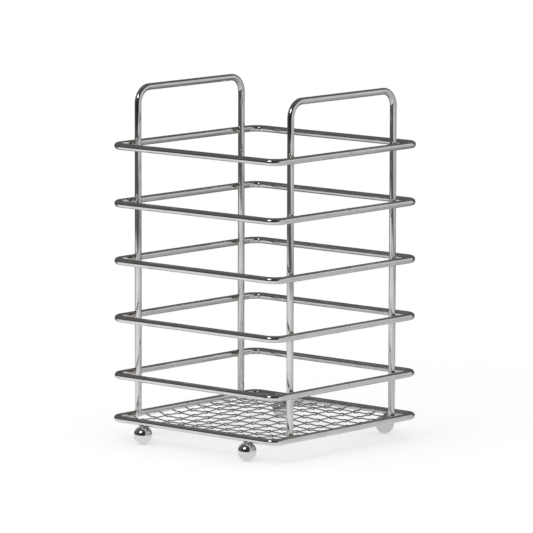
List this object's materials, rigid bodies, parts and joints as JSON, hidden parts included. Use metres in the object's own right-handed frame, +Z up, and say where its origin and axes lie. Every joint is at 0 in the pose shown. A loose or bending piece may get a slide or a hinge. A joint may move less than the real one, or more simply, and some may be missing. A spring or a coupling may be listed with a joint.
{
  "type": "cutlery caddy",
  "caption": "Open square caddy of chromed wire for cutlery: stacked rings on upright frames that rise into side handles, with a woven wire base and ball feet.",
  "frame": {"origin": "on the floor under the middle of the caddy, level with the flats of the ball feet", "axes": "+Z up, -Y towards the front, +X to the right; the handle bars run along Y at the left and right"},
  "size_m": [0.131, 0.135, 0.2099],
  "materials": {
    "ring_wire": "bright chrome plate on drawn steel wire",
    "frame_wire": "bright chrome plate on drawn steel wire",
    "mesh_wire": "plated crimped wire, duller than the rings",
    "ball": "mirror-bright chromed steel ball"
  },
  "bodies": {
    "root": {"base_ring": "ring_wire", "side_ring_1": "ring_wire", "side_ring_2": "ring_wire", "side_ring_3": "ring_wire", "side_ring_4": "ring_wire", "rim_ring": "ring_wire", "left_handle_frame": "frame_wire", "right_handle_frame": "frame_wire", "base_wire_lengthwise_1": "mesh_wire", "base_wire_lengthwise_2": "mesh_wire", "base_wire_lengthwise_3": "mesh_wire", "base_wire_lengthwise_4": "mesh_wire", "base_wire_lengthwise_5": "mesh_wire", "base_wire_lengthwise_6": "mesh_wire", "base_wire_lengthwise_7": "mesh_wire", "base_wire_lengthwise_8": "mesh_wire", "base_wire_lengthwise_9": "mesh_wire", "base_wire_lengthwise_10": "mesh_wire", "base_wire_lengthwise_11": "mesh_wire", "base_wire_crosswise_1": "mesh_wire", "base_wire_crosswise_2": "mesh_wire", "base_wire_crosswise_3": "mesh_wire", "base_wire_crosswise_4": "mesh_wire", "base_wire_crosswise_5": "mesh_wire", "base_wire_crosswise_6": "mesh_wire", "base_wire_crosswise_7": "mesh_wire", "base_wire_crosswise_8": "mesh_wire", "base_wire_crosswise_9": "mesh_wire", "base_wire_crosswise_10": "mesh_wire", "base_wire_crosswise_11": "mesh_wire", "ball_foot_front_left": "ball", "ball_foot_front_right": "ball", "ball_foot_back_left": "ball", "ball_foot_back_right": "ball"}
  },
  "joints": []
}
